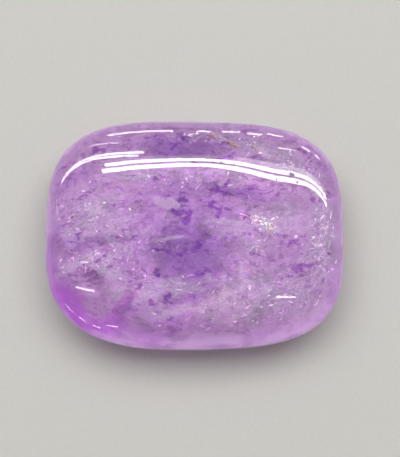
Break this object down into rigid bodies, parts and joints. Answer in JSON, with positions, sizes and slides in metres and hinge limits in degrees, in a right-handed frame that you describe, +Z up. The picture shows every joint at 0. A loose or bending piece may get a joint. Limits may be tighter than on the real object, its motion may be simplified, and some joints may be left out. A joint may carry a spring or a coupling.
{
  "type": "amethyst palm stone",
  "caption": "Polished pillow-shaped palm stone of clear to cloudy violet amethyst with a low crown, rounded sides and a small flat underneath to rest on.",
  "frame": {"origin": "centre of the stone's box seen from above, on the flat that it rests on", "axes": "+X along the stone's long side towards the end that tapers a little, +Y across it, +Z up out of the crown"},
  "size_m": [0.05, 0.0392, 0.0147],
  "materials": {
    "polished_amethyst": "high hand polish over see-through violet quartz with colour clouds, pale healed cracks and small bright flakes inside"
  },
  "bodies": {
    "root": {"amethyst": "polished_amethyst"}
  },
  "joints": []
}
